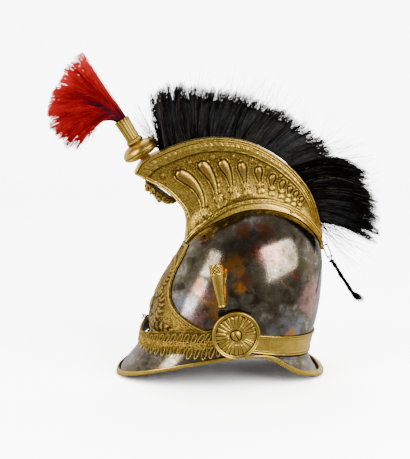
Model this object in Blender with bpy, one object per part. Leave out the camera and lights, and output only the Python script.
# Cuirassier helmet that stands on its peak and neck guard.
# Metres, +Z up, the face side towards -X, the plume side towards -Y.
import bpy
import bmesh
from collections import namedtuple
from math import acos, asin, atan2, ceil, cos, exp, pi, sin, sqrt
from mathutils import Matrix, Vector

# Clearances
GAP = 0.0003
SEAT = 0.0005

# Bowl
BOWL_LENGTH = 0.224
BOWL_WIDTH = 0.188
BOWL_WALL = 0.0012
BROW_HEIGHT = 0.0590
EAR_RIM_HEIGHT = 0.0495
NAPE_HEIGHT = 0.0275
RIM_EASE = 0.15
CROWN_HEIGHT = 0.2400
BOWL_ROUNDNESS = 2.15
BOWL_SIDES = 32

# Peak
PEAK_REACH = BOWL_LENGTH / 2 + 0.0480
PEAK_WIDTH = BOWL_WIDTH - 0.0010
PEAK_SHEET = 0.0014
PEAK_SWEEP = 1.45
EAR_HEIGHT = 0.0402
EAR_REACH = 0.975

# Neck guard
GUARD_REACH = BOWL_LENGTH / 2 + 0.0200
GUARD_WIDTH = BOWL_WIDTH - 0.0030
GUARD_SHEET = 0.0014
GUARD_ROUNDNESS = 2.5
GUARD_FLARE = 1.9
GUARD_LEVEL_END = 1.05

# Brass edging of the peak and guard
TRIM_DEPTH = 0.0065
TRIM_LIP = 0.0010
TRIM_BEAD = 0.0012
TRIM_NOSE = 0.0016
TRIM_GAP = 0.0009
TRIM_SEAT = 1.2
TRIM_FIT = 0.85
HEEL_SHARE = 0.75
STAND_CUT = 0.0004
STAND_FLAT = 0.0007

# Front plate
PLATE_SHEET = 0.0016
PLATE_SEAT = 0.0009
PLATE_RIM = 0.0014
PLATE_RELIEF = 0.0020

# Rear band
BAND_HEIGHT = 0.0255
BAND_NAPE_HEIGHT = 0.0310
BAND_SHEET = 0.0014
BAND_RIDGE = 0.0014
BAND_ROOT = 0.0130

# Crest
CREST_LENGTH = BOWL_LENGTH + 0.0402
CREST_NOSE = -BOWL_LENGTH / 2 - 0.0215
CREST_TOP = CROWN_HEIGHT + 0.0933
CREST_BASE = CROWN_HEIGHT - 0.0520
CREST_FOOT_WIDTH = 0.0500
CREST_TOP_WIDTH = 0.0330
CREST_WAIST = 0.0240
CREST_WALL = 0.0015
CREST_TAIL_SEAT = 0.0034
CREST_TAIL_DROP = 0.0140
NOSE_COVE = 0.0207
GADROONS = 9
GADROON_FIRST = 0.19
GADROON_SPAN = 0.61
GADROON_RELIEF = 0.0034

# Mask
MASK_HEIGHT = 0.0520
MASK_WIDTH = 0.0420
MASK_RELIEF = 0.0180
MASK_PLACE = 0.655
MASK_STAND = 0.0036

# Horsehair
HAIR_LENGTH = 0.0850
BRUSH_BASE = 0.0230
BRUSH_SPREAD = 0.0330
MANE_BASE = 0.0170
MANE_SPREAD = 0.0440
LOCK_STEP = 0.0030
TAIL_WIDTH = 0.0070
TAIL_HOOK_WIRE = 0.0010
TAIL_HOOK_WIDTH = 0.0070

# Tuft, its ball and its holder
BALL_PLACE = 0.045
BALL_WIDTH = 0.0520
BALL_THICKNESS = 0.0230
BALL_SEAM = 0.40
BALL_NECK = 0.0160
BALL_NECK_HEIGHT = 0.0020
BALL_LEAN = 0.52
HOLDER_WIDTH = 0.0195
HOLDER_LENGTH = 0.0365
TUFT_LENGTH = 0.0945
TUFT_SPREAD = 0.1370
TUFT_THICKNESS = 0.0500

# Rosettes and their screws
ROSETTE_ALONG = -0.0030
ROSETTE_HEIGHT = 0.0780
ROSETTE_WIDTH = 0.0655
ROSETTE_THICKNESS = 0.0060
ROSETTE_STEM = 0.0140
ROSETTE_PETALS = 12
SCREW_WIDTH = 0.0120
SCREW_HEIGHT = 0.0026
SLOT_WIDTH = 0.0016
SLOT_DEPTH = 0.0012

# Chin chain
CHAIN_WIDE = 0.0380
CHAIN_NARROW = 0.0150
CHAIN_THICKNESS = 0.0050
CHAIN_REACH = BOWL_LENGTH / 2 + 0.0150
CHAIN_SIDE_HEIGHT = 0.0625
CHAIN_FRONT_HEIGHT = 0.0525
CHAIN_LEAN = 0.16
CHAIN_LINK = 0.0145
CHAIN_ROUNDNESS = 2.3

# Plume socket on the left side
PLUME_ALONG = -0.0212
PLUME_TOP = 0.1720
PLUME_LENGTH = 0.0575
PLUME_MOUTH = 0.0175
PLUME_END = 0.0087
PLUME_BORE = 0.0115
PLUME_COLLAR = 0.0140
PLUME_STAND = 0.0090
PLUME_LEAN_BACK = 0.155
PLUME_LEAN_OUT = 0.090
FOOT_LENGTH = 0.0130

# Each row of the bowl is a level: its rise from rim to crown, and how far it
# reaches forward, back and sideways, as shares of half the length and width.
BowlLevel = namedtuple("BowlLevel", "rise front back side")
BOWL_LEVELS = [
    BowlLevel(0.000, 0.985, 0.985, 0.970),
    BowlLevel(0.120, 1.000, 1.035, 1.000),
    BowlLevel(0.253, 0.955, 1.100, 1.000),
    BowlLevel(0.387, 0.865, 1.140, 0.985),
    BowlLevel(0.520, 0.740, 1.158, 0.940),
    BowlLevel(0.653, 0.610, 1.158, 0.850),
    BowlLevel(0.760, 0.500, 1.107, 0.735),
    BowlLevel(0.850, 0.340, 0.990, 0.590),
    BowlLevel(0.923, 0.130, 0.830, 0.430),
    BowlLevel(0.972, -0.060, 0.640, 0.270),
    BowlLevel(0.997, -0.240, 0.440, 0.090),
]

# Height of the guard's edge by its place from nape to ear, a share of the ear's height.
GuardEdge = namedtuple("GuardEdge", "turn height")
GUARD_EDGE = [
    GuardEdge(0.00, 0.000),
    GuardEdge(0.22, 0.000),
    GuardEdge(0.45, 0.140),
    GuardEdge(0.60, 0.300),
    GuardEdge(0.70, 0.540),
    GuardEdge(0.80, 0.860),
    GuardEdge(0.90, 0.990),
    GuardEdge(1.00, 1.000),
]

# Side edge of the front plate: rise on the bowl, and its reach round the side as a share.
PlateEdge = namedtuple("PlateEdge", "rise reach")
PLATE_EDGE = [
    PlateEdge(0.030, 0.980),
    PlateEdge(0.125, 0.972),
    PlateEdge(0.160, 0.912),
    PlateEdge(0.205, 0.815),
    PlateEdge(0.260, 0.690),
    PlateEdge(0.330, 0.553),
    PlateEdge(0.420, 0.440),
    PlateEdge(0.530, 0.353),
    PlateEdge(0.620, 0.330),
    PlateEdge(0.700, 0.285),
]

# Top line of the crest and the foot below it, as shares of the crest's length and height.
CrestLine = namedtuple("CrestLine", "place along up foot foot_width top_width")
CREST_LINE = [
    CrestLine(0.000, 0.000, 0.664, 0.000, 0.50, 0.96),
    CrestLine(0.022, 0.034, 0.769, 0.030, 0.60, 1.00),
    CrestLine(0.120, 0.133, 0.873, 0.140, 0.90, 1.00),
    CrestLine(0.270, 0.289, 0.973, 0.280, 1.00, 0.97),
    CrestLine(0.410, 0.445, 1.000, 0.390, 1.00, 0.92),
    CrestLine(0.550, 0.601, 0.950, 0.490, 1.00, 0.86),
    CrestLine(0.700, 0.760, 0.795, 0.600, 1.00, 0.80),
    CrestLine(0.810, 0.866, 0.620, 0.700, 0.96, 0.74),
    CrestLine(0.900, 0.943, 0.405, 0.800, 0.88, 0.67),
    CrestLine(0.965, 0.990, 0.120, 0.920, 0.70, 0.58),
    CrestLine(1.000, 1.000, -0.020, 1.000, 0.48, 0.44),
]

# The cove of the crest's front wall, from foot to lip, as a share of its depth.
NoseCove = namedtuple("NoseCove", "rise depth")
NOSE_COVES = [
    NoseCove(0.00, 0.00),
    NoseCove(0.14, 0.72),
    NoseCove(0.29, 1.16),
    NoseCove(0.47, 1.15),
    NoseCove(0.65, 0.94),
    NoseCove(0.84, 0.42),
    NoseCove(1.00, 0.00),
]

# Half width of the crest from foot to top, between the foot, waist and top widths.
CrestFlank = namedtuple("CrestFlank", "rise foot waist top gadroon")
CREST_FLANK = [
    CrestFlank(0.00, 1.00, 0.00, 0.00, 0.00),
    CrestFlank(0.11, 0.82, 0.18, 0.00, 0.00),
    CrestFlank(0.21, 0.30, 0.70, 0.00, 0.15),
    CrestFlank(0.44, 0.00, 1.00, 0.00, 0.75),
    CrestFlank(0.66, 0.00, 0.85, 0.15, 1.00),
    CrestFlank(0.81, 0.00, 0.40, 0.60, 0.10),
    CrestFlank(1.00, 0.00, 0.00, 1.00, 0.00),
]

# Locks of hair from the crest's top: their place on it, and how far the tips
# stand back and up from it, as shares of the hair's length.
HairTip = namedtuple("HairTip", "place back up")
BRUSH_TIPS = [
    HairTip(0.135, -0.270, 0.740),
    HairTip(0.165, -0.230, 0.900),
    HairTip(0.200, -0.150, 0.930),
    HairTip(0.270, -0.110, 0.860),
    HairTip(0.400, 0.040, 0.740),
    HairTip(0.520, 0.150, 0.680),
    HairTip(0.620, 0.300, 0.600),
    HairTip(0.715, 0.460, 0.500),
]
MANE_TIPS = [
    HairTip(0.740, 0.440, 0.420),
    HairTip(0.790, 0.520, 0.380),
    HairTip(0.840, 0.720, 0.280),
    HairTip(0.880, 0.850, 0.200),
    HairTip(0.905, 0.940, 0.000),
    HairTip(0.925, 0.980, -0.260),
    HairTip(0.950, 0.760, -0.460),
]

# The tuft's sections from holder to tips: reach forward, lowest and highest
# edge from the holder's mouth, and thickness, all as shares.
TuftSection = namedtuple("TuftSection", "reach low high thick")
TUFT_SECTIONS = [
    TuftSection(0.090, 0.000, 0.170, 0.40),
    TuftSection(0.155, -0.065, 0.320, 0.60),
    TuftSection(0.235, -0.135, 0.465, 0.78),
    TuftSection(0.345, -0.190, 0.560, 0.92),
    TuftSection(0.495, -0.310, 0.650, 1.00),
    TuftSection(0.655, -0.270, 0.560, 0.94),
    TuftSection(0.815, -0.200, 0.400, 0.78),
    TuftSection(0.925, -0.100, 0.270, 0.52),
    TuftSection(0.995, 0.020, 0.160, 0.20),
]

# Route of the hair tail, from the point at the bowl's back below the crest's rear tip.
TAIL_START = Vector((BOWL_LENGTH / 2, 0.0, CREST_BASE))
TAIL_ROUTE = [
    TAIL_START + Vector((0.0330, 0.0, -0.0320)),
    TAIL_START + Vector((0.0400, -0.0010, -0.0420)),
    TAIL_START + Vector((0.0470, -0.0020, -0.0540)),
    TAIL_START + Vector((0.0550, -0.0020, -0.0650)),
    TAIL_START + Vector((0.0610, -0.0020, -0.0750)),
    TAIL_START + Vector((0.0690, -0.0010, -0.0840)),
    TAIL_START + Vector((0.0790, 0.0, -0.0900)),
]

# Colours of the finishes: base colour, roughness, metallic
LOOKS = {
    "steel": ((0.36, 0.33, 0.29), 0.28, 1.0),
    "brass": ((0.72, 0.55, 0.22), 0.33, 1.0),
    "dark_metal": ((0.10, 0.09, 0.08), 0.50, 1.0),
    "black_hair": ((0.02, 0.018, 0.02), 0.55, 0.0),
    "red_hair": ((0.48, 0.04, 0.05), 0.60, 0.0),
}


def clear_scene():
    for item in list(bpy.data.objects):
        bpy.data.objects.remove(item, do_unlink=True)


def read_table(rows, key, value, column):
    """Smooth reading of one column of a table whose first column rises."""
    keys = [getattr(row, key) for row in rows]
    values = [getattr(row, column) for row in rows]
    value = min(max(value, keys[0]), keys[-1])
    last = len(rows) - 1
    slopes = []
    for index in range(last + 1):
        before = max(index - 1, 0)
        after = min(index + 1, last)
        slopes.append((values[after] - values[before]) / (keys[after] - keys[before]))
    index = 0
    while index < last - 1 and value > keys[index + 1]:
        index += 1
    span = keys[index + 1] - keys[index]
    share = (value - keys[index]) / span
    turn = share * share * (3 - 2 * share)
    start = share * (1 - share) ** 2
    finish = share * share * (share - 1)
    return (values[index] * (1 - turn) + values[index + 1] * turn
            + span * (start * slopes[index] + finish * slopes[index + 1]))


def signed_power(value, power):
    return (1 if value >= 0 else -1) * abs(value) ** power


def mix(first, second, share):
    return first * (1 - share) + second * share


def add_body(name, look, points, faces):
    """A closed body from points and faces, with its faces turned outwards."""
    mesh = bpy.data.meshes.new(name)
    mesh.from_pydata([tuple(point) for point in points], [], faces)
    work = bmesh.new()
    work.from_mesh(mesh)
    bmesh.ops.recalc_face_normals(work, faces=work.faces[:])
    work.to_mesh(mesh)
    work.free()
    mesh.shade_smooth()
    mesh.set_sharp_from_angle(angle=0.6)
    body = bpy.data.objects.new(name, mesh)
    bpy.context.collection.objects.link(body)
    mesh.materials.append(add_material(name, look))
    body.parent = helmet
    return body


def add_material(name, look):
    colour, roughness, metallic = LOOKS[look]
    material = bpy.data.materials.new(name)
    material.use_nodes = True
    shader = material.node_tree.nodes["Principled BSDF"]
    shader.inputs["Base Color"].default_value = (*colour, 1.0)
    shader.inputs["Roughness"].default_value = roughness
    shader.inputs["Metallic"].default_value = metallic
    return material


def loft(name, look, rings, fan=True):
    """A closed body through rings of points, its two ends capped."""
    count = len(rings[0])
    points = [point for ring in rings for point in ring]
    faces = []
    for level in range(len(rings) - 1):
        for side in range(count):
            low = level * count
            after = (side + 1) % count
            faces.append((low + side, low + after, low + count + after, low + count + side))
    for level in (0, len(rings) - 1):
        ring = [level * count + side for side in range(count)]
        if not fan:
            faces.append(tuple(ring))
            continue
        centre = len(points)
        points.append(sum((Vector(points[index]) for index in ring), Vector()) / count)
        for side in range(count):
            faces.append((ring[side], ring[(side + 1) % count], centre))
    return add_body(name, look, points, faces)


def turned(name, look, profile, place, sides, ripple=None):
    """A body turned about the place's Z axis from (radius, height) points."""
    rings = []
    for radius, height in profile:
        ring = []
        for side in range(sides):
            turn = 2 * pi * side / sides
            lift = ripple(radius, turn) if ripple else 0.0
            ring.append(place @ Vector((radius * cos(turn), radius * sin(turn), height + lift)))
        rings.append(ring)
    return loft(name, look, rings)


def wall(name, look, inner, outer):
    """A body between two equal grids of points, closed along their borders."""
    rows = len(inner)
    columns = len(inner[0])
    points = [point for row in inner for point in row] + [point for row in outer for point in row]
    size = rows * columns
    faces = []
    for row in range(rows - 1):
        for column in range(columns - 1):
            corner = row * columns + column
            quad = (corner, corner + 1, corner + columns + 1, corner + columns)
            faces.append(quad)
            faces.append(tuple(size + index for index in reversed(quad)))
    border = [column for column in range(columns)]
    border += [row * columns + columns - 1 for row in range(1, rows)]
    border += [(rows - 1) * columns + column for column in range(columns - 2, -1, -1)]
    border += [row * columns for row in range(rows - 2, 0, -1)]
    for index, first in enumerate(border):
        second = border[(index + 1) % len(border)]
        faces.append((first, second, size + second, size + first))
    return add_body(name, look, points, faces)


def place_on(point, axis, side):
    """A frame at a point, with Z along the axis and X towards the side."""
    z_axis = axis.normalized()
    x_axis = (side - z_axis * side.dot(z_axis)).normalized()
    y_axis = z_axis.cross(x_axis)
    turn = Matrix((x_axis, y_axis, z_axis)).transposed().to_4x4()
    return Matrix.Translation(point) @ turn


# Bowl

def rim_height(x):
    """Height of the rim, which drops faster behind the ears than in front of them."""
    share = x / (BOWL_LENGTH / 2)
    fall = (NAPE_HEIGHT - BROW_HEIGHT) / 2
    bend = (NAPE_HEIGHT + BROW_HEIGHT) / 2 - EAR_RIM_HEIGHT
    return EAR_RIM_HEIGHT + fall * share + bend * (sqrt(share * share + RIM_EASE * RIM_EASE) - RIM_EASE)


def level_size(rise):
    """Middle, half length and half width of the bowl's level."""
    front = read_table(BOWL_LEVELS, "rise", rise, "front") * BOWL_LENGTH / 2
    back = read_table(BOWL_LEVELS, "rise", rise, "back") * BOWL_LENGTH / 2
    side = read_table(BOWL_LEVELS, "rise", rise, "side") * BOWL_WIDTH / 2
    return (back - front) / 2, (back + front) / 2, side


def bowl_point(rise, turn, out=0.0):
    """A point on the bowl; turn 0 is the back, pi the front, positive to -Y."""
    middle, length, side = level_size(rise)
    power = 2 / BOWL_ROUNDNESS
    x = middle + (length + out) * signed_power(cos(turn), power)
    y = -(side + out) * signed_power(sin(turn), power)
    z = mix(rim_height(x), CROWN_HEIGHT, rise)
    return Vector((x, y, z))


def bowl_top(x, y):
    """Height of the bowl's outer face above a place on its plan."""
    low = 0.0
    high = 1.0
    for _ in range(40):
        rise = (low + high) / 2
        middle, length, side = level_size(rise)
        inside = (abs(x - middle) / length) ** BOWL_ROUNDNESS + (abs(y) / side) ** BOWL_ROUNDNESS
        if inside < 1:
            low = rise
        else:
            high = rise
    return mix(rim_height(x), CROWN_HEIGHT, low)


def bowl_side(x, rise):
    """Half width of the bowl at a place along it."""
    middle, length, side = level_size(rise)
    share = min(abs(x - middle) / length, 1.0)
    return side * (1 - share ** BOWL_ROUNDNESS) ** (1 / BOWL_ROUNDNESS)


def inside_bowl(point, margin):
    """Whether a point is nearer the bowl's outer face than the margin, or within it."""
    rise = rise_at(point.x, point.z)
    if not 0 < rise < 1:
        return False
    middle, length, side = level_size(rise)
    share = (abs(point.x - middle) / (length + margin)) ** BOWL_ROUNDNESS
    return share + (abs(point.y) / (side + margin)) ** BOWL_ROUNDNESS < 1


def rise_at(x, z):
    return (z - rim_height(x)) / (CROWN_HEIGHT - rim_height(x))


def build_skull_shell():
    outer = [[bowl_point(level.rise, 2 * pi * side / BOWL_SIDES) for side in range(BOWL_SIDES)]
             for level in BOWL_LEVELS]
    inner = []
    for level in BOWL_LEVELS:
        drop = BOWL_WALL * 1.3 * level.rise ** 4
        ring = [bowl_point(level.rise, 2 * pi * side / BOWL_SIDES, -BOWL_WALL) for side in range(BOWL_SIDES)]
        inner.append([point - Vector((0, 0, drop)) for point in ring])
    loft("skull_shell", "steel", list(reversed(outer)) + inner)


# Peak and neck guard

def peak_edge(turn):
    """Edge of the peak above its lowest point; turn 0 is the tip, pi / 2 the ear."""
    x = -PEAK_REACH * cos(turn)
    y = PEAK_WIDTH / 2 * sin(turn)
    z = EAR_HEIGHT * (1 - abs(cos(turn)) ** PEAK_SWEEP)
    return Vector((x, y, z))


def guard_edge(turn):
    """Edge of the neck guard above its lowest point; turn 0 is the nape, pi / 2 the ear."""
    power = 2 / GUARD_ROUNDNESS
    x = GUARD_REACH * signed_power(cos(turn), power)
    y = GUARD_WIDTH / 2 * signed_power(sin(turn), power)
    z = EAR_HEIGHT * read_table(GUARD_EDGE, "turn", abs(turn) / (pi / 2), "height")
    return Vector((x, y, z))


def trim_section(sheet):
    """Section of the folded edging: (outwards, upwards) from the sheet's edge."""
    slot = sheet / 2 + TRIM_GAP
    mouth = slot + TRIM_GAP / 2
    return [
        (-TRIM_DEPTH, mouth),
        (-TRIM_DEPTH, mouth + TRIM_LIP),
        (-TRIM_DEPTH * 0.55, slot + TRIM_LIP + TRIM_BEAD),
        (-TRIM_DEPTH * 0.15, slot + TRIM_LIP * 0.9),
        (TRIM_NOSE, slot * 0.8),
        (TRIM_NOSE, -slot * 0.8),
        (-TRIM_DEPTH * 0.15, -mouth - TRIM_LIP),
        (-TRIM_DEPTH * 0.85, -mouth - TRIM_LIP),
        (-TRIM_DEPTH * 0.85, -mouth),
        (TRIM_GAP, -slot),
        (TRIM_GAP, slot),
    ]


def flange_root(edge, front, sheet):
    """Where the peak or guard meets the bowl, as far along it as its edge."""
    middle, length, side = level_size(0.0)
    out = SEAT * 1.5 + sheet / 2
    share = min(abs(edge.x) / (PEAK_REACH if front else GUARD_REACH), 1.0)
    x = middle + (-1 if front else 1) * share * (length + out)
    y = (side + out) * (1 - share ** BOWL_ROUNDNESS) ** (1 / BOWL_ROUNDNESS)
    return Vector((x, y if edge.y >= 0 else -y, rim_height(x) + sheet))


def flange_out(turn, root, edge, front):
    """Direction of the sheet's last stretch, towards its edge."""
    straight = (edge - root).normalized()
    if front:
        return straight
    level = Vector((edge.x - root.x, edge.y - root.y, 0)).normalized()
    return mix(level, straight, min(abs(turn) / GUARD_LEVEL_END, 1.0)).normalized()


def flange_base(front, sheet):
    """Height of the sheet's edge where the edging touches the ground."""
    edge = peak_edge(0.0) if front else guard_edge(0.0)
    out = flange_out(0.0, flange_root(edge, front, sheet), edge, front)
    up = Vector((-abs(out.z) if front else abs(out.z), 0, abs(out.x)))
    lowest = min(out.z * across + up.z * over for across, over in trim_section(sheet))
    return -lowest - (STAND_CUT if front else 0.0)


def flange_point(turn, share, front, sheet):
    """A point of the peak or guard; share 0 is the root and 1 the edge."""
    edge = peak_edge(turn) if front else guard_edge(turn)
    edge.z += flange_base(front, sheet)
    root = flange_root(edge, front, sheet)
    out = flange_out(turn, root, edge, front)
    heel = edge - out * min(TRIM_DEPTH * TRIM_SEAT, (edge - root).length * TRIM_FIT)
    if share >= HEEL_SHARE:
        return mix(heel, edge, (share - HEEL_SHARE) / (1 - HEEL_SHARE))
    share = share / HEEL_SHARE
    bend = 1.0 if front else GUARD_FLARE
    flat = share ** bend
    fall = share ** (1.0 if front else 0.85)
    return Vector((mix(root.x, heel.x, flat), mix(root.y, heel.y, flat), mix(root.z, heel.z, fall)))


def flange_frame(turn, share, front, sheet):
    """Point, out and up of the sheet at a share of its depth."""
    step = 0.004
    point = flange_point(turn, share, front, sheet)
    low = share if share == HEEL_SHARE else max(share - step, 0.0)
    high = min(share + step, 1.0)
    out = (flange_point(turn, high, front, sheet) - flange_point(turn, low, front, sheet)).normalized()
    before = flange_point(turn - step, share, front, sheet)
    after = flange_point(turn + step, share, front, sheet)
    up = (after - before).cross(out).normalized()
    outward = Vector((point.x, point.y, 0)).normalized() + Vector((0, 0, 1))
    if up.dot(outward) < 0:
        up = -up
    return point, out, up


def flange_turns(count):
    limit = pi / 2 * EAR_REACH
    shares = [mix(-1, 1, index / count) for index in range(count + 1)]
    return [limit * share * (1.4 - 0.4 * share * share) for share in shares]


def build_flange(name, front, columns, shares, sheet):
    top = []
    bottom = []
    for share in shares:
        frames = [flange_frame(turn, share, front, sheet) for turn in flange_turns(columns)]
        top.append([point + up * sheet / 2 for point, _, up in frames])
        bottom.append([point - up * sheet / 2 for point, _, up in frames])
    wall(name, "steel", bottom, top)


def build_trim(name, front, columns, sheet):
    """Folded edging: a channel round the sheet's edge, flat where it stands."""
    rings = []
    for turn in flange_turns(columns):
        edge, out, edge_up = flange_frame(turn, 1.0, front, sheet)
        heel, _, heel_up = flange_frame(turn, HEEL_SHARE, front, sheet)
        ring = []
        for across, over in trim_section(sheet):
            back = max(-across, 0.0) / (TRIM_DEPTH * TRIM_SEAT)
            up = mix(edge_up, heel_up, back).normalized()
            point = mix(edge, heel, back) + out * max(across, 0.0) + up * over
            if point.z < STAND_FLAT:
                point.z = 0.0
            ring.append(point)
        rings.append(ring)
    loft(name, "brass", rings, fan=False)


def build_peak_and_guard():
    build_flange("peak", True, 24, [0.0, 0.4, HEEL_SHARE, 1.0], PEAK_SHEET)
    build_trim("peak_trim", True, 24, PEAK_SHEET)
    build_flange("neck_guard", False, 30, [0.0, 0.2, 0.45, HEEL_SHARE, 1.0], GUARD_SHEET)
    build_trim("neck_guard_trim", False, 30, GUARD_SHEET)


# Front plate and rear band

def plate_levels():
    """Rises of the plate's rows, closest together where its edge turns in."""
    last = rise_at(crest_foot(0.0).x, crest_foot(0.0).z - SEAT * 2)
    rises = [row.rise for row in PLATE_EDGE[:-1]] + [last]
    rows = []
    for low, high in zip(rises, rises[1:]):
        rows.append(low)
        if low < 0.17:
            rows.append((low + high) / 2)
    return rows + [last]


def plate_turn(share, rise):
    """Turn on the bowl's level, from -1 at the right edge to 1 at the left."""
    reach = read_table(PLATE_EDGE, "rise", rise, "reach")
    power = BOWL_ROUNDNESS / 2
    edge = reach ** power
    return pi - asin(edge) * share


def build_front_plate():
    """Embossed plate: raised rim, a sunk field and a raised scroll each side."""
    half = [0.94, 0.88, 0.77, 0.65, 0.52, 0.39, 0.26, 0.13]
    columns = [-1.0] + [-share for share in half] + [0.0] + list(reversed(half)) + [1.0]
    inner = []
    outer = []
    levels = plate_levels()
    for rise in levels:
        inner_row = []
        outer_row = []
        field = sin(pi * (rise - levels[0]) / (levels[-1] - levels[0])) ** 0.5
        for column in columns:
            turn = plate_turn(column, rise)
            rim = 1.0 if 0.85 < abs(column) < 0.9 else 0.0
            scroll = max(cos(pi * (abs(column) - 0.45) / 0.6), 0.0) ** 2 * (0.6 + 0.4 * cos(rise * 60))
            boss = max(1 - abs(column) / 0.3, 0.0)
            lift = PLATE_SHEET + PLATE_RIM * rim + PLATE_RELIEF * field * max(scroll, boss)
            inner_row.append(bowl_point(rise, turn, PLATE_SEAT))
            outer_row.append(bowl_point(rise, turn, PLATE_SEAT + lift))
        inner.append(inner_row)
        outer.append(outer_row)
    wall("front_plate", "brass", inner, outer)


def build_rear_band():
    """Moulded band round the back, with two beads at its top and one below."""
    levels = [(0.00, 1.0), (0.10, 0.3), (0.20, 0.8), (0.30, 0.0), (0.78, 0.0), (0.86, 1.0), (0.93, 0.3), (1.00, 0.9)]
    start = acos(min((BAND_ROOT / (BOWL_LENGTH / 2)) ** (BOWL_ROUNDNESS / 2), 1.0))
    count = 22
    inner = []
    outer = []
    for level, bead in levels:
        inner_row = []
        outer_row = []
        for index in range(count + 1):
            turn = mix(-start, start, index / count)
            foot = bowl_point(0.0, turn).z + GUARD_SHEET * 2 + SEAT
            height = mix(BAND_HEIGHT, BAND_NAPE_HEIGHT, max(cos(turn), 0.0))
            rise = rise_at(bowl_point(0.0, turn).x, foot + height * level)
            inner_row.append(bowl_point(rise, turn, SEAT))
            outer_row.append(bowl_point(rise, turn, SEAT + BAND_SHEET + BAND_RIDGE * bead))
        inner.append(inner_row)
        outer.append(outer_row)
    wall("rear_band", "brass", inner, outer)


# Crest

def crest_height():
    return CREST_TOP - CREST_BASE


def bowl_back(z):
    """How far back the bowl reaches at a height, on its middle line."""
    middle, length, _ = level_size(rise_at(BOWL_LENGTH / 2, z))
    return middle + length


def crest_top(place):
    """Top line of the crest on the middle plane, from nose to tail."""
    x = CREST_NOSE + CREST_LENGTH * read_table(CREST_LINE, "place", place, "along")
    z = CREST_BASE + crest_height() * read_table(CREST_LINE, "place", place, "up")
    if place > 0.9:
        x = max(x, bowl_back(z) + CREST_TAIL_SEAT)
    return Vector((x, 0, z))


def crest_foot(place, inset=0.0):
    """Foot of the crest on the bowl, on the left side."""
    half = CREST_FOOT_WIDTH / 2 * read_table(CREST_LINE, "place", place, "foot_width") - inset
    tail = CREST_BASE - CREST_TAIL_DROP
    middle, length, _ = level_size(rise_at(-BOWL_LENGTH / 4, CREST_BASE))
    front = middle - length - CREST_WALL - SEAT * 2
    back = bowl_back(tail) + CREST_WALL + SEAT * 2
    x = mix(front, back, read_table(CREST_LINE, "place", place, "foot"))
    lowest = CREST_BASE if place < 0.5 else tail
    return Vector((x, -half, max(bowl_top(x, half) + SEAT, lowest)))


def gadroon_phase(place):
    """Count of gadroons up to a place on the crest; they shrink towards its tail."""
    share = (place - GADROON_FIRST) / GADROON_SPAN
    if share >= 1:
        return GADROONS - 1 + (share - 1) * GADROONS * 2
    return (GADROONS - 1) * (1 - (1 - share) ** 0.625)


def crest_places():
    places = [0.0, 0.03, 0.07]
    for step in range(-3, 3 * (GADROONS - 1) + 1):
        share = 1 - (1 - step / 3 / (GADROONS - 1)) ** 1.6
        places.append(GADROON_FIRST + GADROON_SPAN * share)
    last = places[-1]
    return places + [mix(last, 1.0, share) for share in (0.25, 0.5, 0.7, 0.85, 0.94, 1.0)]


def crest_point(place, rise, side, inset):
    """A point of the crest's flank; side is -1 on the left, 0 on top, 1 on the right."""
    top = crest_top(place)
    foot = crest_foot(place, inset)
    half_foot = abs(foot.y) + inset
    half_top = CREST_TOP_WIDTH / 2 * read_table(CREST_LINE, "place", place, "top_width")
    half_waist = min(CREST_WAIST / 2, half_top * 0.95, half_foot)
    half = (half_foot * read_table(CREST_FLANK, "rise", rise, "foot")
            + half_waist * read_table(CREST_FLANK, "rise", rise, "waist")
            + half_top * read_table(CREST_FLANK, "rise", rise, "top"))
    foot_line = Vector((foot.x, 0, foot.z))
    point = mix(foot_line, top, rise)
    line = (top - foot_line).normalized()
    back = Vector((line.z, 0, -line.x))
    cove = NOSE_COVE * read_table(NOSE_COVES, "rise", rise, "depth") * max(1 - place / 0.25, 0.0) ** 1.5
    point += back * cove
    swell = read_table(CREST_FLANK, "rise", rise, "gadroon") * GADROON_RELIEF
    phase = gadroon_phase(place)
    if -0.5 < phase < GADROONS - 0.5:
        half += swell * abs(cos(pi * phase))
    point -= line * inset * rise
    point.y = side * (half - inset)
    margin = SEAT * (3 if place > 0.8 else 1)
    while inside_bowl(point, margin):
        point += line * SEAT
    return point


def build_crest():
    """Hollow crest: flanks, top and end walls as one shell, open over the bowl."""
    rises = [row.rise for row in CREST_FLANK]
    columns = [(rise, -1) for rise in rises] + [(1.0, 0)] + [(rise, 1) for rise in reversed(rises)]
    places = crest_places()
    outer = [[crest_point(place, rise, side, 0.0) for rise, side in columns] for place in places]
    inner = []
    for index, place in enumerate(places):
        row = [crest_point(place, rise, side, CREST_WALL) for rise, side in columns]
        push = 0.0
        if index == 0:
            push = CREST_WALL
        if index == len(places) - 1:
            push = -CREST_WALL
        inner.append([point + Vector((push, 0, 0)) for point in row])
    width = len(columns)
    points = [point for row in outer for point in row] + [point for row in inner for point in row]
    size = len(places) * width
    faces = []
    for row in range(len(places) - 1):
        for column in range(width - 1):
            corner = row * width + column
            quad = (corner, corner + 1, corner + width + 1, corner + width)
            faces.append(quad)
            faces.append(tuple(size + index for index in reversed(quad)))
    half = (width - 1) // 2
    for start in (0, (len(places) - 1) * width):
        for column in range(half):
            left = start + column
            right = start + width - 1 - column
            quad = (left, left + 1, right - 1, right) if column < half - 1 else (left, left + 1, right)
            faces.append(quad)
            faces.append(tuple(size + index for index in reversed(quad)))
    border = [row * width for row in range(len(places))]
    border += [row * width + width - 1 for row in reversed(range(len(places)))]
    for index, first in enumerate(border):
        second = border[(index + 1) % len(border)]
        faces.append((first, second, size + second, size + first))
    add_body("crest", "brass", points, faces)


# Mask

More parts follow.
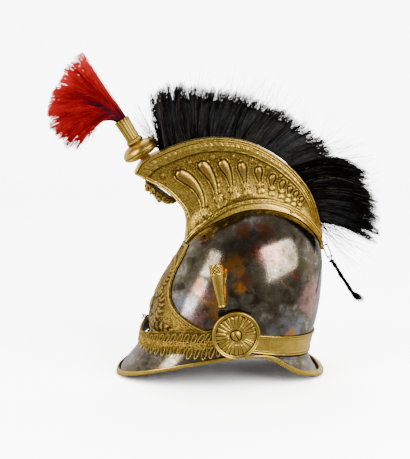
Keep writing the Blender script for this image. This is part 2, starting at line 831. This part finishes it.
def mask_relief(across, up):
    """Height of the mask; up runs from chin -1 to hair 1, in equal thirds of the face."""
    dome = sqrt(max(1 - across * across - up * up * 0.9, 0.0))
    nose = 0.30 * exp(-(across / 0.13) ** 2) * exp(-((up + 0.10) / 0.22) ** 2)
    brow = 0.10 * exp(-((up - 0.16) / 0.09) ** 2) * exp(-(across / 0.5) ** 2)
    eyes = -0.12 * exp(-((abs(across) - 0.27) / 0.13) ** 2) * exp(-((up - 0.04) / 0.09) ** 2)
    lips = 0.10 * exp(-(across / 0.20) ** 2) * exp(-((up + 0.48) / 0.07) ** 2)
    chin = 0.12 * exp(-(across / 0.22) ** 2) * exp(-((up + 0.72) / 0.10) ** 2)
    edge = sqrt(across * across + up * up)
    curls = 0.16 * max(edge - 0.62, 0.0) / 0.38 * (1 + cos(9 * atan2(up, across)))
    return 0.35 + 0.65 * dome + nose + brow + eyes + lips + chin + curls


def build_crest_mask():
    """Calm mask with curled hair, seated on the nose wall below the crest's lip."""
    high = crest_point(0.0, MASK_PLACE + 0.2, 0, 0.0)
    low = crest_point(0.0, MASK_PLACE - 0.2, 0, 0.0)
    up = (high - low).normalized()
    out = Vector((-up.z, 0, up.x))
    middle = crest_point(0.0, MASK_PLACE, 0, 0.0) + out * MASK_STAND
    place = place_on(middle, out, up)
    rings = []
    shares = (1.0, 0.9, 0.78, 0.64, 0.5, 0.36, 0.22, 0.1)
    sides = 20
    back = []
    for side in range(sides):
        turn = 2 * pi * side / sides
        back.append(place @ Vector((MASK_HEIGHT / 2 * cos(turn) * 0.94, MASK_WIDTH / 2 * sin(turn) * 0.94, 0)))
    rings.append(back)
    for share in shares:
        ring = []
        for side in range(sides):
            turn = 2 * pi * side / sides
            height = MASK_RELIEF * mask_relief(share * sin(turn), share * cos(turn)) * 0.7
            ring.append(place @ Vector((MASK_HEIGHT / 2 * share * cos(turn), MASK_WIDTH / 2 * share * sin(turn), height)))
        rings.append(ring)
    loft("crest_mask", "brass", rings)


# Horsehair

def build_locks(name, tips, base_width, spread, count, ragged):
    """Hair standing from the crest's top in locks, as one body."""
    first = tips[0].place
    last = tips[-1].place
    rings = []
    for index in range(count + 1):
        place = mix(first, last, index / count)
        root = crest_top(place)
        back = read_table(tips, "place", place, "back") * HAIR_LENGTH
        up = read_table(tips, "place", place, "up") * HAIR_LENGTH
        hair = Vector((back, 0, up))
        lock = LOCK_STEP * ragged * ((index % 3) - 1)
        tip = root + hair + hair.normalized() * lock
        ahead = crest_top(min(place + 0.01, 1.0)) - crest_top(place - 0.01)
        normal = Vector((-ahead.z, 0, ahead.x)).normalized()
        base = root + normal * SEAT * 1.6
        swell = LOCK_STEP * 0.35 * (1 if index % 2 else -1)
        taper = 1.0 - 0.15 * (index in (0, count))
        ring = []
        profile = [(0.0, 0.0), (0.0, 1.0), (0.35, 0.86), (0.7, 1.05), (0.93, 0.9), (1.0, 0.45)]
        for side in (-1, 1):
            rows = profile[1:] if side < 0 else list(reversed(profile[1:]))
            for rise, wide in rows:
                half = mix(base_width, spread, rise) / 2 * wide * taper
                if 0 < rise < 1:
                    half += swell * (1 if rise > 0.5 else -1)
                ring.append(mix(base, tip, rise) + Vector((0, side * half, 0)))
        rings.append(ring)
    loft(name, "black_hair", rings)


def build_hair_tail():
    """Thin twisted tail, hung from the hook at the crest's rear tip."""
    rings = []
    sides = 6
    count = (len(TAIL_ROUTE) - 1) * 3
    for index in range(count + 1):
        share = index / count * (len(TAIL_ROUTE) - 1)
        part = min(int(share), len(TAIL_ROUTE) - 2)
        point = mix(TAIL_ROUTE[part], TAIL_ROUTE[part + 1], share - part)
        axis = (TAIL_ROUTE[part + 1] - TAIL_ROUTE[part]).normalized()
        place = place_on(point, axis, Vector((0, 1, 0)))
        radius = TAIL_WIDTH / 2 * (1.0 + 0.12 * (-1) ** index) * mix(1.0, 0.6, index / count)
        rings.append([place @ Vector((radius * cos(2 * pi * side / sides), radius * sin(2 * pi * side / sides), 0))
                      for side in range(sides)])
    loft("hair_tail", "black_hair", rings)


def ring_body(name, look, place, long, short, wire, turns, sides):
    """A closed oval wire ring."""
    points = []
    faces = []
    for step in range(turns):
        turn = 2 * pi * step / turns
        for side in range(sides):
            angle = 2 * pi * side / sides
            swell = wire * cos(angle)
            points.append(place @ Vector(((long + swell) * cos(turn), (short + swell) * sin(turn), wire * sin(angle))))
            after = (side + 1) % sides
            beyond = (step + 1) % turns
            faces.append((step * sides + side, step * sides + after, beyond * sides + after, beyond * sides + side))
    add_body(name, look, points, faces)


def build_tail_hook():
    tail = crest_top(1.0)
    tail.x += TAIL_HOOK_WIRE + SEAT
    centre = mix(tail, TAIL_ROUTE[0], 0.5)
    reach = (TAIL_ROUTE[0] - tail).length / 2 - TAIL_HOOK_WIRE - SEAT
    place = place_on(centre, Vector((0, 1, 0)), TAIL_ROUTE[0] - tail)
    ring_body("tail_hook", "dark_metal", place, reach, TAIL_HOOK_WIDTH / 2, TAIL_HOOK_WIRE, 12, 5)


# Ball, holder and tuft

def ball_place():
    seat = crest_top(BALL_PLACE)
    axis = Vector((-BALL_LEAN, 0, sqrt(1 - BALL_LEAN ** 2)))
    return place_on(seat + axis * SEAT, axis, Vector((0, 1, 0)))


def build_tuft_ball():
    """Flattened ball with a seam groove, on a short neck."""
    below = BALL_THICKNESS * BALL_SEAM
    above = BALL_THICKNESS - below
    middle = BALL_NECK_HEIGHT + below
    profile = [(BALL_NECK / 2, 0.0)]
    steps = 4
    for index in range(1, 2 * steps):
        angle = pi * index / (2 * steps)
        radius = BALL_WIDTH / 2 * sin(angle) ** 0.8
        if index == steps:
            profile.append((radius, middle - below * 0.1))
            profile.append((radius * 0.965, middle))
            profile.append((radius, middle + below * 0.1))
        else:
            profile.append((radius, middle - (below if index < steps else above) * cos(angle)))
    profile.append((HOLDER_WIDTH * 0.6, middle + above))
    turned("tuft_ball", "brass", profile, ball_place(), 16)


def holder_place():
    height = BALL_NECK_HEIGHT + BALL_THICKNESS
    return ball_place() @ Matrix.Translation((0, 0, height + GAP))


def build_tuft_holder():
    """Fluted tube with a ring at its foot and at its mouth."""
    half = HOLDER_WIDTH / 2
    length = HOLDER_LENGTH
    profile = [(half * 1.25, 0.0), (half * 1.25, length * 0.10), (half * 0.9, length * 0.16), (half, length * 0.24),
               (half, length * 0.70), (half * 1.2, length * 0.76), (half * 1.2, length * 0.84), (half * 0.95, length * 0.9),
               (half * 1.1, length), (half * 0.7, length)]
    turned("tuft_holder", "brass", profile, holder_place(), 12)


def build_tuft():
    """Red tuft in locks, fanned forward from the holder's mouth."""
    mouth = holder_place() @ Matrix.Translation((0, 0, HOLDER_LENGTH + GAP))
    sides = 16
    rings = []
    stub = HOLDER_WIDTH * 0.42
    rings.append([mouth @ Vector((stub * sin(2 * pi * side / sides), stub * cos(2 * pi * side / sides), 0))
                  for side in range(sides)])
    origin = mouth.translation
    for index, row in enumerate(TUFT_SECTIONS):
        middle = (row.high + row.low) / 2 * TUFT_SPREAD
        half = (row.high - row.low) / 2 * TUFT_SPREAD
        thick = row.thick * TUFT_THICKNESS / 2
        ring = []
        for side in range(sides):
            turn = 2 * pi * side / sides
            lock = 1.0 + 0.07 * (1 if (side + index) % 2 else -1)
            step = LOCK_STEP * (1 if side % 2 else -1) * row.reach
            ring.append(origin + Vector((-row.reach * TUFT_LENGTH + step, thick * lock * sin(turn),
                                         middle + half * lock * cos(turn))))
        rings.append(ring)
    loft("tuft", "red_hair", rings)


# Rosettes, screws and chin chain

def rosette_back():
    """Distance of the rosettes' backs from the middle plane."""
    return BOWL_WIDTH / 2 + SEAT * 2 + PLATE_SHEET + CHAIN_THICKNESS + GAP * 2


def side_place(side, distance):
    """A frame on one side of the bowl, its Z axis pointing outwards."""
    point = Vector((ROSETTE_ALONG, side * distance, ROSETTE_HEIGHT))
    return place_on(point, Vector((0, side, 0)), Vector((0, 0, 1)))


def build_rosettes():
    half = ROSETTE_WIDTH / 2
    thick = ROSETTE_THICKNESS
    stem = ROSETTE_STEM / 2
    reach = rosette_back() - BOWL_WIDTH / 2 - SEAT
    profile = [(stem, -reach), (stem, 0.0), (half * 0.94, 0.0), (half, thick * 0.25), (half * 0.97, thick * 0.6),
               (half * 0.88, thick * 0.45), (half * 0.62, thick * 0.75), (half * 0.34, thick * 0.55),
               (half * 0.30, thick), (SCREW_WIDTH * 0.4, thick)]

    def petals(radius, turn):
        inside = half * 0.32 < radius < half * 0.9
        return thick * 0.14 * cos(ROSETTE_PETALS * turn) if inside and radius > stem * 1.01 else 0.0

    for name, side in (("left", -1), ("right", 1)):
        turned("rosette_" + name, "brass", profile, side_place(side, rosette_back()), ROSETTE_PETALS * 2, petals)
        seat = rosette_back() + thick + GAP
        screw = turned("rosette_screw_" + name, "brass",
                       [(SCREW_WIDTH / 2, 0.0), (SCREW_WIDTH / 2, SCREW_HEIGHT * 0.7), (SCREW_WIDTH * 0.4, SCREW_HEIGHT)],
                       side_place(side, seat), 16)
        cut_slot(screw, side_place(side, seat + SCREW_HEIGHT))


def cut_slot(screw, place):
    """A slot across the screw's head, cut on the slant."""
    turn = Matrix.Rotation(pi / 4, 4, "Z")
    long = SCREW_WIDTH
    corners = [(-long, -SLOT_WIDTH / 2), (long, -SLOT_WIDTH / 2), (long, SLOT_WIDTH / 2), (-long, SLOT_WIDTH / 2)]
    rings = []
    for height in (-SLOT_DEPTH, SLOT_DEPTH):
        rings.append([place @ turn @ Vector((x, y, height)) for x, y in corners])
    cutter = loft(screw.name + "_slot", "dark_metal", rings, fan=False)
    cutter.hide_render = True
    cutter.display_type = "WIRE"
    cut = screw.modifiers.new("slot", "BOOLEAN")
    cut.object = cutter
    cut.operation = "DIFFERENCE"


def chain_point(turn):
    """Middle of the chain; turn 0 is its front and pi / 2 the rosette."""
    power = 2 / CHAIN_ROUNDNESS
    half = rosette_back() - GAP - CHAIN_THICKNESS / 2
    x = ROSETTE_ALONG - (CHAIN_REACH + ROSETTE_ALONG) * abs(cos(turn)) ** power
    y = half * signed_power(sin(turn), power)
    share = abs(turn) / (pi / 2)
    z = mix(CHAIN_FRONT_HEIGHT, CHAIN_SIDE_HEIGHT, min(share * 1.6, 1.0))
    z = mix(z, ROSETTE_HEIGHT, max(share - 0.8, 0.0) / 0.2 * 0.6)
    return Vector((x, y, z))


def build_chin_chain():
    """The whole chain, rosette to rosette, as one woven band that narrows in front."""
    power = CHAIN_ROUNDNESS / 2
    clear = ROSETTE_STEM / 2 + GAP * 2
    end = acos(min((clear / (CHAIN_REACH + ROSETTE_ALONG)) ** power, 1.0))
    length = (CHAIN_REACH + BOWL_WIDTH / 2) * 1.7
    count = 2 * ceil(length / CHAIN_LINK)
    rings = []
    for index in range(count + 1):
        share = mix(-1, 1, index / count)
        turn = end * share
        point = chain_point(turn)
        along = (chain_point(turn + 0.01) - chain_point(turn - 0.01)).normalized()
        out = Vector((-along.y, along.x, 0)).normalized()
        if out.dot(Vector((point.x, point.y, 0))) < 0:
            out = -out
        lean = CHAIN_LEAN * (1 - abs(share) ** 4)
        up = Vector((-out.x * lean, -out.y * lean, 1)).normalized()
        half = mix(CHAIN_NARROW, CHAIN_WIDE, min(abs(share) * 1.5, 1.0) ** 0.8) / 2
        thick = CHAIN_THICKNESS / 2
        link = thick * (0.45 if index % 2 else 0.0)
        ring = [(-thick, half * 0.9), (0, half), (thick - link, half * 0.8), (thick - link, half * 0.1),
                (thick - link * 0.4, -half * 0.1), (thick - link, -half * 0.8), (0, -half), (-thick, -half * 0.9)]
        rings.append([point + out * across + up * over for across, over in ring])
    loft("chin_chain", "brass", rings)


def build_chain_hook():
    """Small stud on the plate's middle line, above the chain."""
    rise = 0.115
    foot = bowl_point(rise, pi, SEAT + PLATE_SHEET + PLATE_RELIEF + GAP)
    length = CHAIN_THICKNESS * 1.8
    profile = [(0.0022, 0.0), (0.0016, length * 0.25), (0.0016, length * 0.7), (0.0030, length * 0.8), (0.0022, length)]
    turned("chain_hook", "dark_metal", profile, place_on(foot, Vector((-1, 0, 0)), Vector((0, 0, 1))), 10)


# Plume socket

def plume_place():
    """A frame at the socket's lower end, Z towards its mouth."""
    axis = Vector((-PLUME_LEAN_BACK, PLUME_LEAN_OUT, 1)).normalized()
    low = PLUME_TOP - PLUME_LENGTH * axis.z
    wall_half = bowl_side(PLUME_ALONG, rise_at(PLUME_ALONG, low))
    point = Vector((PLUME_ALONG, -wall_half - PLUME_STAND, low))
    return place_on(point, axis, Vector((0, -1, 0)))


def build_plume_holder():
    """Open socket: a tapering tube with a cast collar round its mouth."""
    mouth = PLUME_MOUTH / 2
    end = PLUME_END / 2
    bore = PLUME_BORE / 2
    start = PLUME_LENGTH - PLUME_COLLAR
    profile = [(bore * 0.6, PLUME_LENGTH * 0.30), (bore, start), (bore, PLUME_LENGTH), (mouth, PLUME_LENGTH),
               (mouth, PLUME_LENGTH - 0.0015), (mouth * 0.88, PLUME_LENGTH - 0.003), (mouth * 0.92, start + 0.003),
               (mouth, start + 0.0015), (mouth, start), (mouth * 0.86, start - 0.001), (end, 0.0)]
    turned("plume_holder", "brass", profile, plume_place(), 12)


def build_plume_foot():
    """Dark foot between the socket's lower end and the bowl."""
    place = plume_place()
    top = place @ Vector((0, 0, -GAP))
    top.z -= PLUME_END / 2 * (PLUME_LEAN_BACK + PLUME_LEAN_OUT)
    half = PLUME_END * 0.55
    rings = []
    for share, grow in ((0.0, 0.9), (0.35, 1.3), (0.7, 1.2), (1.0, 0.9)):
        low = top - Vector((0, 0, FOOT_LENGTH * share))
        inside = -bowl_side(low.x, rise_at(low.x, low.z)) - SEAT - PLATE_SHEET * 0.2
        outside = mix(top.y - half, inside - PLUME_STAND * 0.5, share)
        near = inside if share > 0.3 else mix(top.y + half, inside, share / 0.35)
        rings.append([Vector((low.x - half * grow, near, low.z)), Vector((low.x + half * grow, near, low.z)),
                      Vector((low.x + half * grow, outside, low.z)), Vector((low.x - half * grow, outside, low.z))])
    loft("plume_holder_foot", "dark_metal", rings, fan=False)


def centre_on_floor():
    """Stands the helmet on z 0, with its box centred on the origin."""
    bpy.context.view_layer.update()
    corners = []
    for item in bpy.data.objects:
        if item.type == "MESH" and not item.hide_render:
            corners += [item.matrix_world @ vertex.co for vertex in item.data.vertices]
    low = Vector([min(corner[axis] for corner in corners) for axis in range(3)])
    high = Vector([max(corner[axis] for corner in corners) for axis in range(3)])
    helmet.location = (-(low.x + high.x) / 2, -(low.y + high.y) / 2, -low.z)


clear_scene()
helmet = bpy.data.objects.new("helmet", None)
bpy.context.collection.objects.link(helmet)
build_skull_shell()
build_peak_and_guard()
build_front_plate()
build_rear_band()
build_crest()
build_crest_mask()
build_locks("brush", BRUSH_TIPS, BRUSH_BASE, BRUSH_SPREAD, 24, 1.0)
build_locks("mane", MANE_TIPS, MANE_BASE, MANE_SPREAD, 14, 1.6)
build_hair_tail()
build_tail_hook()
build_tuft_ball()
build_tuft_holder()
build_tuft()
build_rosettes()
build_chin_chain()
build_chain_hook()
build_plume_holder()
build_plume_foot()
centre_on_floor()
